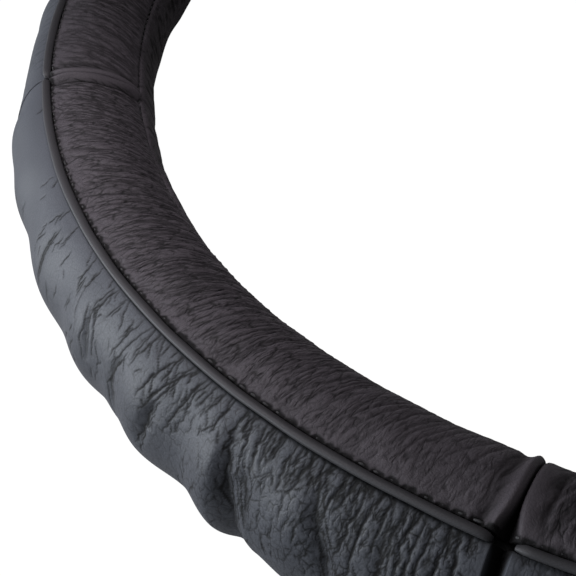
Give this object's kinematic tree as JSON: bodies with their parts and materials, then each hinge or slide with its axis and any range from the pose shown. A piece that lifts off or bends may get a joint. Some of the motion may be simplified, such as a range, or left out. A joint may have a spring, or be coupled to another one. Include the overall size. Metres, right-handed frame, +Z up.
{
  "type": "steering wheel cover",
  "caption": "Ring-shaped soft leather sleeve sewn from equal lengths, with a gathered outer side, piping and elastic hems, pulled over a car's steering wheel rim.",
  "frame": {"origin": "centre of the ring, on the surface that the cover rests on", "axes": "+Z up along the ring's axis, out of the driver's side of the wheel; +Y through one cross seam, the wheel's twelve o'clock; +X to the right"},
  "size_m": [0.3789, 0.3783, 0.0354],
  "materials": {
    "grip_leather": "soft black grained leather with fine cross wrinkles",
    "outer_leather": "soft black smooth leather, gathered",
    "inner_leather": "soft black leather",
    "piping_leather": "smooth black leather piping",
    "elastic_web": "black woven elastic"
  },
  "bodies": {
    "root": {"grip_panel_1": "grip_leather", "grip_panel_2": "grip_leather", "grip_panel_3": "grip_leather", "grip_panel_4": "grip_leather", "grip_panel_5": "grip_leather", "grip_panel_6": "grip_leather", "grip_panel_7": "grip_leather", "outer_panel_1": "outer_leather", "outer_panel_2": "outer_leather", "outer_panel_3": "outer_leather", "outer_panel_4": "outer_leather", "outer_panel_5": "outer_leather", "outer_panel_6": "outer_leather", "outer_panel_7": "outer_leather", "inner_panel_1": "inner_leather", "inner_panel_2": "inner_leather", "inner_panel_3": "inner_leather", "inner_panel_4": "inner_leather", "inner_panel_5": "inner_leather", "inner_panel_6": "inner_leather", "inner_panel_7": "inner_leather", "piping_1": "piping_leather", "piping_2": "piping_leather", "piping_3": "piping_leather", "piping_4": "piping_leather", "piping_5": "piping_leather", "piping_6": "piping_leather", "piping_7": "piping_leather", "outer_hem_elastic": "elastic_web", "inner_hem_elastic": "elastic_web"}
  },
  "joints": []
}
